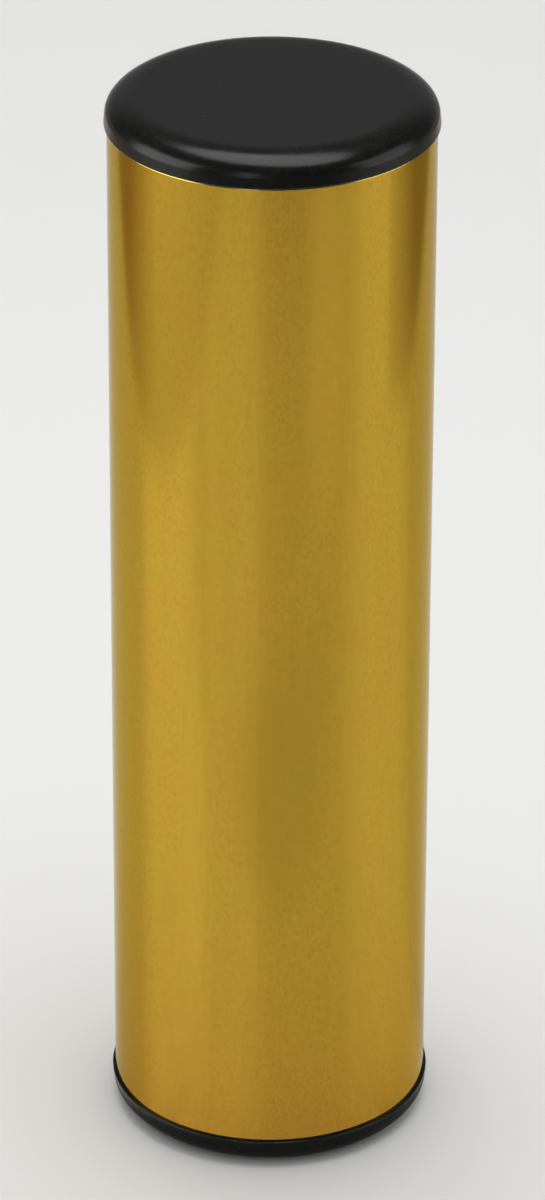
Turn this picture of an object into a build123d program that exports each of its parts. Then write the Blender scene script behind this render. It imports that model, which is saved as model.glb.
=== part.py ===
from build123d import *
import math
import os

# A hand-held tube shaker standing on its lower cap: a drawn aluminium tube, two moulded
# end caps pressed into its bore, and loose steel shot that travels from cap to cap.
# Millimetres, +Z along the tube, origin in the middle of the lower cap's flat end face.

# Tube
tube_diameter = 50.0            # outside
tube_wall = 1.2
tube_length = 165.6             # between the two cap flanges
tube_outer_break_depth = 0.15   # steep chamfer round the outside of each cut end, into the wall
tube_outer_break_length = 0.3   # the same chamfer, along the tube
tube_inner_edge_break = 0.2     # chamfer round the bore of each cut end

# End caps, two of one moulding
cap_overhang = 0.45             # flange edge beyond the tube's outside
cap_flange_height = 4.7
cap_shoulder_reach = 5.0        # half the width of the ellipse that the shoulder follows
cap_side_band = 1.3             # side of the flange, from its lip to the middle of that ellipse
cap_side_draft = 6.0            # degrees by which the side leans in towards the shoulder
cap_lip_radius = 0.2            # rounded flange edge beside the tube
cap_end_wall = 2.4
cap_corner_radius = 1.0         # inside corner of the end wall and the skirt
cap_skirt_length = 12.0         # plug that goes into the bore
cap_skirt_wall = 1.6
cap_skirt_clearance = 0.3       # skirt to bore, all round
cap_lead_in = 0.6               # chamfer at the skirt's open edge
cap_rib_count = 12              # crush ribs that hold the plug in the bore
cap_rib_width = 1.2
cap_rib_root = 0.4              # depth to which a rib is moulded into the skirt
cap_rib_taper = 2.0             # ramp at the end of a rib that enters the bore first
cap_rib_setback = 1.0           # from the end of a rib to the lead-in chamfer
cap_rib_clearance = 0.02        # crest of a rib to the bore

# Steel shot
ball_diameter = 4.5
ball_lane_gap = 0.3             # between neighbouring balls, and from the outer ones to the skirt
ball_rest_gap = 0.05            # from a ball to the end wall at each end of its travel
ball_ring_turn = 25.0           # degrees by which each ring of balls is turned from the last
shot_set_count = 17             # sets of balls that move by themselves

tube_radius = tube_diameter / 2
bore_radius = tube_radius - tube_wall
flange_radius = tube_radius + cap_overhang
skirt_radius = bore_radius - cap_skirt_clearance
skirt_bore_radius = skirt_radius - cap_skirt_wall
lower_seat = cap_flange_height
upper_seat = lower_seat + tube_length


# Tube with both cut ends broken inside and out, revolved about its axis
def body_tube():
    outside_flat = tube_radius - tube_outer_break_depth
    inside_flat = bore_radius + tube_inner_edge_break
    with BuildPart() as tube:
        with BuildSketch(Plane.XZ):
            with BuildLine():
                Polyline(
                    (bore_radius, lower_seat + tube_inner_edge_break),
                    (inside_flat, lower_seat),
                    (outside_flat, lower_seat),
                    (tube_radius, lower_seat + tube_outer_break_length),
                    (tube_radius, upper_seat - tube_outer_break_length),
                    (outside_flat, upper_seat),
                    (inside_flat, upper_seat),
                    (bore_radius, upper_seat - tube_inner_edge_break),
                    close=True,
                )
            make_face()
        revolve(axis=Axis.Z)
    return tube.part


# One crush rib: a narrow strip with a crest that follows the bore and a ramp at its far end
def crush_rib():
    rib_floor = skirt_radius - cap_rib_root
    rib_crest = bore_radius - cap_rib_clearance
    rib_end = cap_lead_in + cap_rib_setback - cap_skirt_length
    with BuildPart() as rib:
        with BuildSketch(Plane.XZ):
            with BuildLine():
                Polyline(
                    (rib_floor, 0),
                    (rib_crest, 0),
                    (rib_crest, rib_end + cap_rib_taper),
                    (skirt_radius, rib_end),
                    (rib_floor, rib_end),
                    close=True,
                )
            make_face()
        revolve(axis=Axis.Z, revolution_arc=math.degrees(cap_rib_width / rib_crest))
    return rib.part


# End cap with its flange seat at Z 0, the end face above and the hollow plug below
def end_cap():
    draft = math.radians(cap_side_draft)
    seat_radius = flange_radius - cap_lip_radius
    side_foot_radius = seat_radius + cap_lip_radius * math.cos(draft)
    side_foot = cap_lip_radius + cap_lip_radius * math.sin(draft)
    shoulder_foot = cap_lip_radius + cap_side_band
    shoulder_drop = cap_flange_height - shoulder_foot
    # angle on the ellipse at which the shoulder leans as the side does, so that one runs into the other
    shoulder_end = math.atan(shoulder_drop / cap_shoulder_reach * math.tan(draft))
    side_top = shoulder_foot + shoulder_drop * math.sin(shoulder_end)
    side_top_radius = side_foot_radius - (side_top - side_foot) * math.tan(draft)
    flat_radius = side_top_radius - cap_shoulder_reach * math.cos(shoulder_end)
    ceiling = cap_flange_height - cap_end_wall
    corner_radius = skirt_bore_radius - cap_corner_radius
    corner_height = ceiling - cap_corner_radius
    with BuildPart() as cap:
        with BuildSketch(Plane.XZ):
            with BuildLine():
                Line((0, cap_flange_height), (flat_radius, cap_flange_height))
                EllipticalCenterArc(
                    (flat_radius, shoulder_foot),
                    cap_shoulder_reach,
                    shoulder_drop,
                    math.degrees(shoulder_end),
                    arc_size=90 - math.degrees(shoulder_end),
                )
                Line((side_top_radius, side_top), (side_foot_radius, side_foot))
                CenterArc(
                    (seat_radius, cap_lip_radius), cap_lip_radius, cap_side_draft, -90 - cap_side_draft
                )
                Polyline(
                    (seat_radius, 0),
                    (skirt_radius, 0),
                    (skirt_radius, cap_lead_in - cap_skirt_length),
                    (skirt_radius - cap_lead_in, -cap_skirt_length),
                    (skirt_bore_radius, -cap_skirt_length),
                    (skirt_bore_radius, corner_height),
                )
                CenterArc((corner_radius, corner_height), cap_corner_radius, 0, 90)
                Polyline((corner_radius, ceiling), (0, ceiling), (0, cap_flange_height))
            make_face()
        revolve(axis=Axis.Z)
        with PolarLocations(0, cap_rib_count):
            add(crush_rib())
    return cap.part


# Rings of lanes side by side, from beside the skirt in to the axis, one ball in each lane
def lane_centres():
    lane_pitch = ball_diameter + ball_lane_gap
    ring_radius = skirt_bore_radius - ball_lane_gap - ball_diameter / 2
    ring_start = 0.0
    centres = []
    while ring_radius >= lane_pitch / 2:
        lanes = int(math.pi / math.asin(lane_pitch / 2 / ring_radius))
        for lane in range(lanes):
            angle = math.radians(ring_start + 360 * lane / lanes)
            centres.append((ring_radius * math.cos(angle), ring_radius * math.sin(angle)))
        ring_radius -= lane_pitch
        ring_start += ball_ring_turn
    if ring_radius >= 0:
        centres.append((0.0, 0.0))
    return centres


# Balls at rest on the lower cap's end wall, dealt out so that each set is spread over the rings
def shot_sets():
    rest_height = cap_end_wall + ball_rest_gap + ball_diameter / 2
    balls = [Pos(x, y, rest_height) * Sphere(ball_diameter / 2) for x, y in lane_centres()]
    shares = [balls[first::shot_set_count] for first in range(shot_set_count)]
    return [Compound([ball.solid() for ball in share]) for share in shares if share]


cap = end_cap()
nodes = {
    "body_tube": body_tube(),
    "top_cap": Pos(0, 0, upper_seat) * cap,
    "bottom_cap": Pos(0, 0, lower_seat) * Rot(X=180) * cap,
}
for number, shot_set in enumerate(shot_sets(), start=1):
    nodes[f"shot_set_{number:02d}"] = shot_set

os.makedirs("parts", exist_ok=True)
for name, shape in nodes.items():
    export_step(shape, f"parts/{name}.step")
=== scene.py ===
import math
import bpy
import numpy as np
from mathutils import Matrix, Quaternion, Vector


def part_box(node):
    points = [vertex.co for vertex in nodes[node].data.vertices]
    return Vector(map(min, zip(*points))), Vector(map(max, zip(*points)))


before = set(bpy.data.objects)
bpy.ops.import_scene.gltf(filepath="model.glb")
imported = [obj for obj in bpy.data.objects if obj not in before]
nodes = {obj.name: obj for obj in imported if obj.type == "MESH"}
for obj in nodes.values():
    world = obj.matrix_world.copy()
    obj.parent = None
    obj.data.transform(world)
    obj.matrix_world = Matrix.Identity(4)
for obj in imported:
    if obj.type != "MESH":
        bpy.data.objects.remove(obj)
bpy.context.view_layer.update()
mm = 0.001
print("frame loaded:", len(nodes), "nodes")


# sRGB hex to the linear colour that shaders want, per channel the standard sRGB curve
def linearColour(code):
    channels = [int(code[i:i + 2], 16) / 255 for i in (1, 3, 5)]
    return tuple(c / 12.92 if c <= 0.04045 else ((c + 0.055) / 1.055) ** 2.4 for c in channels) + (1.0,)


# how often a pattern repeats per metre along X, Y and Z, from the real size of its blotches
def perMetre(*sizes):
    return tuple(1 / size for size in sizes)


# one node: its settings by name, and each input either a value or the socket that feeds it
def addNode(tree, kind, inputs=None, **settings):
    node = tree.nodes.new(kind)
    for name, value in settings.items():
        setattr(node, name, value)
    for socket, value in (inputs or {}).items():
        if isinstance(value, bpy.types.NodeSocket):
            tree.links.new(value, node.inputs[socket])
        else:
            node.inputs[socket].default_value = value
    return node


# material with an empty node tree
def newMaterial(name):
    material = bpy.data.materials.new(name)
    material.use_nodes = True
    material.node_tree.nodes.clear()
    return material, material.node_tree


gold = {
    # the third colour is painted reflection: the orange of gold light bounced off the floor onto the foot
    "olive": "#B59531", "orange": "#BA9133", "bounceOrange": "#BD8E33", "drawnLine": "#A98630", "pit": "#5A4018",
    "edge": "#EEE7C5",
    # a spread is the part of a noise's range that is used
    # the last entry of the next line gives the heights over which that painted reflection fades out upwards
    "dyeSize": (7 * mm, 7 * mm, 12 * mm), "dyeSpread": (0.32, 0.68), "bounceFade": (5 * mm, 45 * mm),
    "lineSize": (0.5 * mm, 0.5 * mm, 40 * mm), "lineSpread": (0.45, 0.75), "lineDepth": 0.10,
    "lineHeight": 0.0006 * mm,
    "grainSize": (0.5 * mm, 0.5 * mm, 0.8 * mm), "grainSpread": (0.45, 0.70), "grainShade": "#A07C26",
    "grainDepth": 0.34, "grainHeight": 0.0024 * mm,
    "pitSpacing": 8 * mm, "pitRadius": 0.25 * mm, "pitShare": 0.10,
    "roughness": (0.11, 0.17), "glossSpread": (0.3, 0.7),
    "bevel": "#BCA755", "bevelLength": 0.3 * mm, "bevelBlur": 0.05 * mm, "bevelRoughness": 0.22,
}


# Aluminium tube, drawn, bright-dipped, anodised and dyed gold. It gives a clear metal mirror under a satin
# veil, faint lines along the draw, a dye that drifts between olive and orange gold, a few tiny pits, and a
# paler, duller bevel at each cut end.
# Real draw lines are about 0.05 mm wide and the etched grain finer still: both are drawn coarser to show.
def goldAnodisedAluminium():
    material, tree = newMaterial("gold anodised aluminium")
    place = addNode(tree, "ShaderNodeTexCoord").outputs["Object"]

    # slow drift of the dye
    dyePlace = addNode(tree, "ShaderNodeMapping", {"Vector": place, "Scale": perMetre(*gold["dyeSize"])})
    dye = addNode(tree, "ShaderNodeTexNoise", {
        "Vector": dyePlace.outputs["Vector"], "Scale": 1.0, "Detail": 3.0, "Roughness": 0.55})
    drift = addNode(tree, "ShaderNodeMapRange", {
        "Value": dye.outputs["Fac"], "From Min": gold["dyeSpread"][0], "From Max": gold["dyeSpread"][1]})
    # painted reflection: the foot is tinted more orange, standing in for gold light that the floor bounces
    # back onto the tube
    height = addNode(tree, "ShaderNodeSeparateXYZ", {"Vector": place})
    bounceTint = addNode(tree, "ShaderNodeMapRange", {
        "Value": height.outputs["Z"], "From Min": gold["bounceFade"][0], "From Max": gold["bounceFade"][1],
        "To Min": 1.0, "To Max": 0.0})
    drifted = addNode(tree, "ShaderNodeMix", {
        "Factor": drift.outputs["Result"], "A": linearColour(gold["olive"]),
        "B": linearColour(gold["orange"])}, data_type="RGBA")
    dyedAndBounced = addNode(tree, "ShaderNodeMix", {
        "Factor": bounceTint.outputs["Result"], "A": drifted.outputs["Result"],
        "B": linearColour(gold["bounceOrange"])}, data_type="RGBA")

    # lines along the draw
    linePlace = addNode(tree, "ShaderNodeMapping", {"Vector": place, "Scale": perMetre(*gold["lineSize"])})
    lines = addNode(tree, "ShaderNodeTexNoise", {
        "Vector": linePlace.outputs["Vector"], "Scale": 1.0, "Detail": 2.0, "Roughness": 0.6})
    lineShade = addNode(tree, "ShaderNodeMapRange", {
        "Value": lines.outputs["Fac"], "From Min": gold["lineSpread"][0], "From Max": gold["lineSpread"][1],
        "To Max": gold["lineDepth"]})
    lined = addNode(tree, "ShaderNodeMix", {
        "Factor": lineShade.outputs["Result"], "A": dyedAndBounced.outputs["Result"],
        "B": linearColour(gold["drawnLine"])}, data_type="RGBA")

    # satin grain, in the colour, in the gloss and in the relief
    grainPlace = addNode(tree, "ShaderNodeMapping", {
        "Vector": place, "Scale": perMetre(*gold["grainSize"])})
    grain = addNode(tree, "ShaderNodeTexNoise", {
        "Vector": grainPlace.outputs["Vector"], "Scale": 1.0, "Detail": 2.0, "Roughness": 0.5})
    grainShade = addNode(tree, "ShaderNodeMapRange", {
        "Value": grain.outputs["Fac"],
        "From Min": gold["grainSpread"][0], "From Max": gold["grainSpread"][1],
        "To Max": gold["grainDepth"]})
    grained = addNode(tree, "ShaderNodeMix", {
        "Factor": grainShade.outputs["Result"], "A": lined.outputs["Result"],
        "B": linearColour(gold["grainShade"])}, data_type="RGBA")

    # pits: the middles of a few cells of a wide pattern
    reach = gold["pitRadius"] / gold["pitSpacing"]
    cells = addNode(tree, "ShaderNodeTexVoronoi", {"Vector": place, "Scale": 1 / gold["pitSpacing"]})
    draw = addNode(tree, "ShaderNodeSeparateColor", {"Color": cells.outputs["Color"]})
    chosen = addNode(tree, "ShaderNodeMath", {0: draw.outputs["Red"], 1: gold["pitShare"]},
                     operation="LESS_THAN")
    dot = addNode(tree, "ShaderNodeMapRange", {
        "Value": cells.outputs["Distance"], "From Min": reach, "From Max": reach / 2})
    pit = addNode(tree, "ShaderNodeMath", {0: dot.outputs["Result"], 1: chosen.outputs["Value"]},
                  operation="MULTIPLY")
    pitted = addNode(tree, "ShaderNodeMix", {
        "Factor": pit.outputs["Value"], "A": grained.outputs["Result"], "B": linearColour(gold["pit"])},
        data_type="RGBA")

    # bevel of both cut ends, by how far a point is from the tube's middle
    low, high = (corner[2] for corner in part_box("body_tube"))
    fromMiddle = addNode(tree, "ShaderNodeMath", {0: height.outputs["Z"], 1: (low + high) / 2},
                         operation="SUBTRACT")
    away = addNode(tree, "ShaderNodeMath", {0: fromMiddle.outputs["Value"]}, operation="ABSOLUTE")
    bevelEdge = (high - low) / 2 - gold["bevelLength"]
    bevel = addNode(tree, "ShaderNodeMapRange", {
        "Value": away.outputs["Value"], "From Min": bevelEdge - gold["bevelBlur"],
        "From Max": bevelEdge + gold["bevelBlur"]})
    colour = addNode(tree, "ShaderNodeMix", {
        "Factor": bevel.outputs["Result"], "A": pitted.outputs["Result"], "B": linearColour(gold["bevel"])},
        data_type="RGBA")

    # gloss and relief
    gloss = addNode(tree, "ShaderNodeMapRange", {
        "Value": grain.outputs["Fac"],
        "From Min": gold["glossSpread"][0], "From Max": gold["glossSpread"][1],
        "To Min": gold["roughness"][0], "To Max": gold["roughness"][1]})
    dulled = addNode(tree, "ShaderNodeMix", {
        "Factor": bevel.outputs["Result"], "A": gloss.outputs["Result"], "B": gold["bevelRoughness"]})
    lineRelief = addNode(tree, "ShaderNodeBump", {
        "Height": lines.outputs["Fac"], "Strength": 1.0, "Distance": gold["lineHeight"]})
    relief = addNode(tree, "ShaderNodeBump", {
        "Height": grain.outputs["Fac"], "Strength": 1.0, "Distance": gold["grainHeight"],
        "Normal": lineRelief.outputs["Normal"]})

    shader = addNode(tree, "ShaderNodeBsdfPrincipled", {
        "Base Color": colour.outputs["Result"], "Metallic": 1.0,
        "Specular Tint": linearColour(gold["edge"]),
        "Roughness": dulled.outputs["Result"], "Normal": relief.outputs["Normal"]})
    addNode(tree, "ShaderNodeOutputMaterial", {"Surface": shader.outputs["BSDF"]})
    return material


plastic = {
    "deep": "#040504", "pale": "#10120F", "ior": 1.345,
    "cloudSize": (6 * mm, 6 * mm, 6 * mm), "cloudSpread": (0.3, 0.7), "roughness": (0.21, 0.28),
    "grainSize": (0.35 * mm, 0.35 * mm, 0.35 * mm), "grainSpread": (0.35, 0.65), "grainHeight": 0.006 * mm,
}


# Black polypropylene, moulded against spark-eroded steel. It gives a deep black with a soft highlight that
# the pebble of the mould breaks up a little, and patches that differ slightly in gloss.
# The real pebble is about 0.05 mm across: it is drawn coarser to show.
def blackPolypropylene():
    material, tree = newMaterial("black moulded polypropylene")
    place = addNode(tree, "ShaderNodeTexCoord").outputs["Object"]
    cloudPlace = addNode(tree, "ShaderNodeMapping", {
        "Vector": place, "Scale": perMetre(*plastic["cloudSize"])})
    cloud = addNode(tree, "ShaderNodeTexNoise", {
        "Vector": cloudPlace.outputs["Vector"], "Scale": 1.0, "Detail": 3.0, "Roughness": 0.55})
    gloss = addNode(tree, "ShaderNodeMapRange", {
        "Value": cloud.outputs["Fac"],
        "From Min": plastic["cloudSpread"][0], "From Max": plastic["cloudSpread"][1],
        "To Min": plastic["roughness"][0], "To Max": plastic["roughness"][1]})
    grainPlace = addNode(tree, "ShaderNodeMapping", {
        "Vector": place, "Scale": perMetre(*plastic["grainSize"])})
    grain = addNode(tree, "ShaderNodeTexNoise", {
        "Vector": grainPlace.outputs["Vector"], "Scale": 1.0, "Detail": 1.0, "Roughness": 0.5})
    # the tops of the pebble are rubbed paler than its hollows
    rubbed = addNode(tree, "ShaderNodeMapRange", {
        "Value": grain.outputs["Fac"],
        "From Min": plastic["grainSpread"][0], "From Max": plastic["grainSpread"][1]})
    tone = addNode(tree, "ShaderNodeMix", {
        "Factor": rubbed.outputs["Result"], "A": linearColour(plastic["deep"]),
        "B": linearColour(plastic["pale"])}, data_type="RGBA")
    relief = addNode(tree, "ShaderNodeBump", {
        "Height": grain.outputs["Fac"], "Strength": 1.0, "Distance": plastic["grainHeight"]})
    shader = addNode(tree, "ShaderNodeBsdfPrincipled", {
        "Base Color": tone.outputs["Result"], "Roughness": gloss.outputs["Result"], "IOR": plastic["ior"],
        "Normal": relief.outputs["Normal"]})
    addNode(tree, "ShaderNodeOutputMaterial", {"Surface": shader.outputs["BSDF"]})
    return material


steel = {
    "bright": "#D2D2CF", "dull": "#A6A5A1", "bloomSize": (1.5 * mm, 1.5 * mm, 1.5 * mm),
    "scuffSize": (0.2 * mm, 0.2 * mm, 0.2 * mm), "scuffSpread": (0.35, 0.75), "scuffHeight": 0.002 * mm,
    "roughness": (0.08, 0.24),
}


# Bearing-steel shot, ground, polished and then tumbled in use. It gives small bright mirrors with a grey
# bloom and fine scuffs where the balls have struck each other.
def tumbledSteel():
    material, tree = newMaterial("tumbled steel")
    place = addNode(tree, "ShaderNodeTexCoord").outputs["Object"]
    bloomPlace = addNode(tree, "ShaderNodeMapping", {
        "Vector": place, "Scale": perMetre(*steel["bloomSize"])})
    bloom = addNode(tree, "ShaderNodeTexNoise", {
        "Vector": bloomPlace.outputs["Vector"], "Scale": 1.0, "Detail": 3.0, "Roughness": 0.55})
    tone = addNode(tree, "ShaderNodeMix", {
        "Factor": bloom.outputs["Fac"], "A": linearColour(steel["bright"]),
        "B": linearColour(steel["dull"])}, data_type="RGBA")
    scuffPlace = addNode(tree, "ShaderNodeMapping", {
        "Vector": place, "Scale": perMetre(*steel["scuffSize"])})
    scuffs = addNode(tree, "ShaderNodeTexNoise", {
        "Vector": scuffPlace.outputs["Vector"], "Scale": 1.0, "Detail": 4.0, "Roughness": 0.65})
    gloss = addNode(tree, "ShaderNodeMapRange", {
        "Value": scuffs.outputs["Fac"],
        "From Min": steel["scuffSpread"][0], "From Max": steel["scuffSpread"][1],
        "To Min": steel["roughness"][0], "To Max": steel["roughness"][1]})
    relief = addNode(tree, "ShaderNodeBump", {
        "Height": scuffs.outputs["Fac"], "Strength": 1.0, "Distance": steel["scuffHeight"]})
    shader = addNode(tree, "ShaderNodeBsdfPrincipled", {
        "Base Color": tone.outputs["Result"], "Metallic": 1.0, "Roughness": gloss.outputs["Result"],
        "Normal": relief.outputs["Normal"]})
    addNode(tree, "ShaderNodeOutputMaterial", {"Surface": shader.outputs["BSDF"]})
    return material


# takes the plain colour off a CAD node and puts a finish on
def dress(piece, material):
    piece.data.materials.clear()
    piece.data.materials.append(material)


tubeFinish = goldAnodisedAluminium()
capFinish = blackPolypropylene()
shotFinish = tumbledSteel()
dress(nodes["body_tube"], tubeFinish)
dress(nodes["top_cap"], capFinish)
dress(nodes["bottom_cap"], capFinish)
for name, piece in nodes.items():
    if name.startswith("shot_set"):
        dress(piece, shotFinish)
print("finishes on")

# studio: pale matt floor, a satin sheet and cards on it that only reflections see, whose colours paint
# light and shade into the floor that the shaker mirrors, soft lights, camera
floorSet = {
    "side": 14.0, "drop": 0.0002, "colour": "#CACAC8",
    "sheetDrop": 0.0001, "sheetColour": "#BCBCBA", "sheetRoughness": 0.34, "sheetIor": 1.5,
}
cardSet = {
    # the fade entries set where the side cards' painted shade darkens towards the back
    "lift": 0.0002, "step": 0.00002, "fadeStart": -0.03, "fadeEnd": 0.16,
    # the base entries shape a dark card of painted contact shadow round the foot, seen only in reflections
    "baseRadius": 0.0264, "baseReach": 0.0046, "baseRound": 1.2, "baseShift": 0.0005, "baseSides": 72,
    "contactShadowColour": "#787470",
}
# painted shade: cards that darken the floor the tube mirrors at the back left, the back right and far in
# front
shadeCards = [
    # name, corners on the floor in order, colour at the front, colour at the back
    ("leftShadeCard", [(-1.5, -0.47), (-0.20, -0.47), (-0.24, -0.20), (-0.31, 0.35), (-0.35, 1.5), (-1.5, 1.5)],
     "#B2B0AC", "#88776B"),
    ("rightShadeCard", [(0.29, -0.02), (1.5, -0.02), (1.5, 1.5), (0.25, 1.5), (0.262, 0.35)],
     "#BCBCBA", "#857C72"),
    ("frontShadeCard", [(-1.5, -1.6), (1.5, -1.6), (1.5, -0.47), (-1.5, -0.47)], "#3E3B38", "#3E3B38"),
]
# painted light: brighter sweep of floor in front, standing in for pools of light that the tube mirrors
# there; how much of the card shows at each turn from straight ahead, in degrees
lightSweepSet = {
    "inner": 0.027, "outer": 0.46, "sides": 60, "colour": "#CACAC8",
    "turns": [(-62, 0.0), (-38, 0.6), (-20, 0.7), (4, 0.0), (42, 0.0), (76, 1.0), (96, 1.0), (118, 0.0)],
}
# patches of painted shade and painted light: floor that is dimmer or brighter in the tube's reflections,
# each an ellipse that fades out towards its edge
lightShadePatches = [
    # name, middle, reach across and outwards, turn in degrees, colour, how much of it shows in the middle
    ("dimPatch", (0.025, -0.15), (0.13, 0.065), 0, "#9A9A98", 0.38),
    ("rightPatch", (0.208, -0.281), (0.11, 0.13), 36, "#DEDEDC", 0.26),
    ("leftPatch", (-0.106, -0.083), (0.028, 0.13), -55, "#DEDEDC", 0.42),
]
patchFade = 0.7  # share of a patch's reach over which it fades
# painted contact shadow: edge of the dark card round the foot, a circle that reaches further out in front,
# by a power of the cosine
baseTurn = np.linspace(0, 2 * math.pi, cardSet["baseSides"], endpoint=False)
frontward = np.clip(np.cos(baseTurn), 0, 1) ** cardSet["baseRound"]
baseEdge = cardSet["baseRadius"] + cardSet["baseReach"] * frontward
contactShadowRing = np.column_stack([
    cardSet["baseShift"] + baseEdge * np.sin(baseTurn), -baseEdge * np.cos(baseTurn)])
# the sweep is a part of a ring: its outer arc one way, its inner arc back
sweepTurn = np.radians(np.linspace(lightSweepSet["turns"][0][0], lightSweepSet["turns"][-1][0], lightSweepSet["sides"]))
sweepArc = np.column_stack([np.sin(sweepTurn), -np.cos(sweepTurn)])
sweepRing = np.concatenate([lightSweepSet["outer"] * sweepArc, lightSweepSet["inner"] * sweepArc[::-1]])
squareRing = np.array([(-1, -1), (1, -1), (1, 1), (-1, 1)])


# flat sheet: one face through its corners in order, all at one height
def layFlat(name, corners, height, material):
    points = np.column_stack([np.array(corners), np.full(len(corners), height)])
    mesh = bpy.data.meshes.new(name)
    mesh.from_pydata(points.tolist(), [], [tuple(range(len(corners)))])
    mesh.materials.append(material)
    piece = bpy.data.objects.new(name, mesh)
    bpy.context.scene.collection.objects.link(piece)
    return piece


# hides a piece of the studio from all but reflections
def onlyReflected(piece):
    piece.visible_camera = False
    piece.visible_diffuse = False
    piece.visible_shadow = False
    piece.visible_transmission = False


# two square sheets: matt paper for the camera, satin laminate for reflections
def makeFloor():
    corners = squareRing * floorSet["side"] / 2
    matt, tree = newMaterial("white paper")
    shader = addNode(tree, "ShaderNodeBsdfDiffuse", {"Color": linearColour(floorSet["colour"])})
    addNode(tree, "ShaderNodeOutputMaterial", {"Surface": shader.outputs["BSDF"]})
    floor = layFlat("floor", corners, -floorSet["drop"], matt)
    floor.visible_glossy = False
    satin, tree = newMaterial("white laminate")
    shader = addNode(tree, "ShaderNodeBsdfPrincipled", {
        "Base Color": linearColour(floorSet["sheetColour"]), "Roughness": floorSet["sheetRoughness"],
        "IOR": floorSet["sheetIor"]})
    addNode(tree, "ShaderNodeOutputMaterial", {"Surface": shader.outputs["BSDF"]})
    onlyReflected(layFlat("floorSheet", corners, -floorSet["sheetDrop"], satin))


# matt card of painted shade, from one colour at its front to another at its back
def shadeCardMaterial(near, far):
    material, tree = newMaterial("matt card")
    place = addNode(tree, "ShaderNodeTexCoord")
    split = addNode(tree, "ShaderNodeSeparateXYZ", {"Vector": place.outputs["Object"]})
    fade = addNode(tree, "ShaderNodeMapRange", {
        "Value": split.outputs["Y"], "From Min": cardSet["fadeStart"], "From Max": cardSet["fadeEnd"]})
    tone = addNode(tree, "ShaderNodeMix", {
        "Factor": fade.outputs["Result"], "A": linearColour(near), "B": linearColour(far)},
        data_type="RGBA")
    shader = addNode(tree, "ShaderNodeBsdfDiffuse", {"Color": tone.outputs["Result"]})
    addNode(tree, "ShaderNodeOutputMaterial", {"Surface": shader.outputs["BSDF"]})
    return material


# matt card of painted light that comes and goes with the turn about the shaker
def lightSweepMaterial():
    material, tree = newMaterial("painted light sweep")
    place = addNode(tree, "ShaderNodeTexCoord")
    # the gradient goes once round from 0 to 1, and a quarter is straight ahead
    turn = addNode(tree, "ShaderNodeTexGradient", {"Vector": place.outputs["Object"]},
                   gradient_type="RADIAL")
    shown = addNode(tree, "ShaderNodeValToRGB", {"Fac": turn.outputs["Fac"]})
    ramp = shown.color_ramp
    ramp.interpolation = "EASE"
    while len(ramp.elements) < len(lightSweepSet["turns"]):
        ramp.elements.new(1.0)
    for stop, (degrees, level) in zip(ramp.elements, lightSweepSet["turns"]):
        stop.position = degrees / 360 + 0.25
        stop.color = (level, level, level, 1.0)
    clear = addNode(tree, "ShaderNodeBsdfTransparent")
    card = addNode(tree, "ShaderNodeBsdfDiffuse", {"Color": linearColour(lightSweepSet["colour"])})
    mixed = addNode(tree, "ShaderNodeMixShader", {
        0: shown.outputs["Color"], 1: clear.outputs["BSDF"], 2: card.outputs["BSDF"]})
    addNode(tree, "ShaderNodeOutputMaterial", {"Surface": mixed.outputs["Shader"]})
    return material


# matt card of painted shade where its colour is darker than the floor and painted light where brighter,
# that fades out from its middle
def lightShadePatchMaterial(middle, reach, turn, colour, depth):
    material, tree = newMaterial("painted light and shade patch")
    place = addNode(tree, "ShaderNodeTexCoord")
    around = addNode(tree, "ShaderNodeMapping", {
        "Vector": place.outputs["Object"], "Location": (*middle, 0.0),
        "Rotation": (0.0, 0.0, math.radians(turn)), "Scale": (*reach, 1.0)}, vector_type="TEXTURE")
    inward = addNode(tree, "ShaderNodeTexGradient", {"Vector": around.outputs["Vector"]},
                     gradient_type="SPHERICAL")
    shown = addNode(tree, "ShaderNodeMapRange", {
        "Value": inward.outputs["Fac"], "From Max": patchFade, "To Max": depth},
        interpolation_type="SMOOTHSTEP")
    clear = addNode(tree, "ShaderNodeBsdfTransparent")
    card = addNode(tree, "ShaderNodeBsdfDiffuse", {"Color": linearColour(colour)})
    mixed = addNode(tree, "ShaderNodeMixShader", {
        0: shown.outputs["Result"], 1: clear.outputs["BSDF"], 2: card.outputs["BSDF"]})
    addNode(tree, "ShaderNodeOutputMaterial", {"Surface": mixed.outputs["Shader"]})
    return material


# each card lies just above the one before
def makeCards():
    # painted light: the brighter sweep of floor in front
    cards = [("lightSweepCard", sweepRing, lightSweepMaterial())]
    # patches of painted shade and painted light
    for name, middle, reach, *look in lightShadePatches:
        corners = np.array(middle) + max(reach) * squareRing
        cards.append((name, corners, lightShadePatchMaterial(middle, reach, *look)))
    # cards of painted shade
    for name, corners, near, far in shadeCards:
        cards.append((name, corners, shadeCardMaterial(near, far)))
    # painted contact shadow: the dark card round the foot
    cards.append(("contactShadowCard", contactShadowRing, shadeCardMaterial(cardSet["contactShadowColour"], cardSet["contactShadowColour"])))
    for rank, (name, corners, material) in enumerate(cards):
        onlyReflected(layFlat(name, corners, cardSet["lift"] + rank * cardSet["step"], material))


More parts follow.
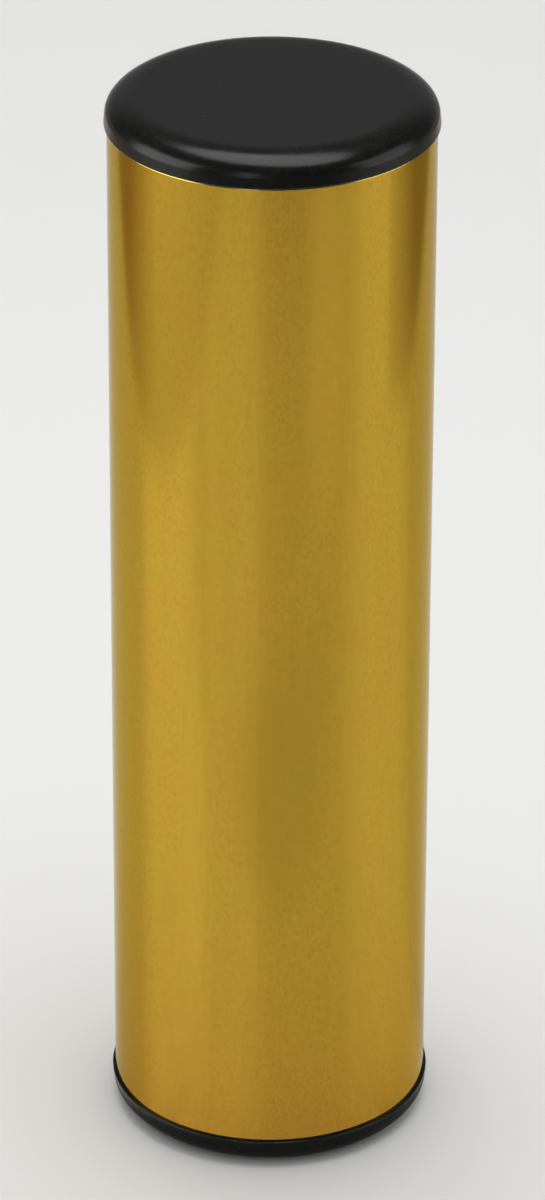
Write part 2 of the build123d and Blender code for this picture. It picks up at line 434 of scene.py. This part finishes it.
lights = [
    # name, shape, place, aim, turn in degrees, width, height, watts, whether reflections show it
    ("overheadBox", "ELLIPSE", (0.005, 0.037, 0.63), (0.005, 0.037, 0.0), 140.0, 0.56, 0.36, 1.90, True),
    ("leftBank", "RECTANGLE", (-0.581, -0.128, 0.294), (0.0, 0.0, 0.14), 0.0, 0.52, 0.472, 2.58, True),
    ("rightBank", "RECTANGLE", (0.591, -0.09, 0.29), (0.0, 0.0, 0.14), 0.0, 0.466, 0.481, 1.12, True),
    ("frontStrip", "RECTANGLE", (-0.232, -0.80, 0.35), (0.0, 0.0, 0.17), 0.0, 0.17, 0.52, 0.50, True),
    ("ceiling", "RECTANGLE", (0.0, 0.0, 3.5), (0.0, 0.0, 0.0), 0.0, 20.0, 20.0, 1224.0, False),
    ("rearWash", "RECTANGLE", (0.0, 1.5, 1.6), (0.0, 1.5, 0.0), 0.0, 2.0, 1.0, 6.0, False),
]
# these stand close by, so the paper floor is spared them and stays evenly pale
sideLights = ("leftBank", "rightBank", "frontStrip")
worldSet = {"front": 0.08, "rear": 0.25, "turn": (0.66, 0.90), "seen": 0.58}


# area lights, each turned to face its aim, in a dim room that is a little brighter behind
def makeLights():
    spared = bpy.data.collections.new("spared by side lights")
    spared.objects.link(bpy.data.objects["floor"])
    spared.collection_objects[0].light_linking.link_state = "EXCLUDE"
    for name, shape, place, aim, turn, width, height, watts, shows in lights:
        data = bpy.data.lights.new(name, "AREA")
        data.shape = shape
        data.size = width
        data.size_y = height
        data.energy = watts
        lamp = bpy.data.objects.new(name, data)
        bpy.context.scene.collection.objects.link(lamp)
        lamp.location = place
        facing = (Vector(aim) - Vector(place)).to_track_quat("-Z", "Y")
        lamp.rotation_euler = (facing @ Quaternion((0.0, 0.0, 1.0), math.radians(turn))).to_euler()
        lamp.visible_camera = False
        lamp.visible_glossy = shows
        if name in sideLights:
            lamp.light_linking.receiver_collection = spared
    world = bpy.data.worlds.new("studio")
    bpy.context.scene.world = world
    world.use_nodes = True
    tree = world.node_tree
    place = addNode(tree, "ShaderNodeTexCoord")
    split = addNode(tree, "ShaderNodeSeparateXYZ", {"Vector": place.outputs["Generated"]})
    level = addNode(tree, "ShaderNodeMapRange", {
        "Value": split.outputs["Y"], "From Min": worldSet["turn"][0], "From Max": worldSet["turn"][1],
        "To Min": worldSet["front"], "To Max": worldSet["rear"]})
    # past the floor's far edge the room looks pale, though it lights the shaker only dimly
    path = addNode(tree, "ShaderNodeLightPath")
    shown = addNode(tree, "ShaderNodeMix", {
        "Factor": path.outputs["Is Camera Ray"], "A": level.outputs["Result"], "B": worldSet["seen"]})
    background = tree.nodes["Background"]
    background.inputs["Color"].default_value = (1.0, 1.0, 1.0, 1.0)
    tree.links.new(shown.outputs["Result"], background.inputs["Strength"])


cameraSet = {"place": (0.0, -0.87675, 0.55025), "pitch": 27.754, "yaw": 0.017, "roll": 0.19, "lens": 189.96}


# camera at the photograph's angle: rolled, tipped down from the level, turned, then put in its place
def makeCamera():
    data = bpy.data.cameras.new("camera")
    data.lens = cameraSet["lens"]
    camera = bpy.data.objects.new("camera", data)
    bpy.context.scene.collection.objects.link(camera)
    turn = Matrix.Rotation(-math.radians(cameraSet["yaw"]), 4, "Z")
    tip = Matrix.Rotation(math.radians(90 - cameraSet["pitch"]), 4, "X")
    roll = Matrix.Rotation(math.radians(cameraSet["roll"]), 4, "Z")
    camera.matrix_world = Matrix.Translation(cameraSet["place"]) @ turn @ tip @ roll
    bpy.context.scene.camera = camera


makeFloor()
makeCards()
makeLights()
makeCamera()
bpy.context.scene.view_settings.view_transform = "Standard"
print("studio ready")
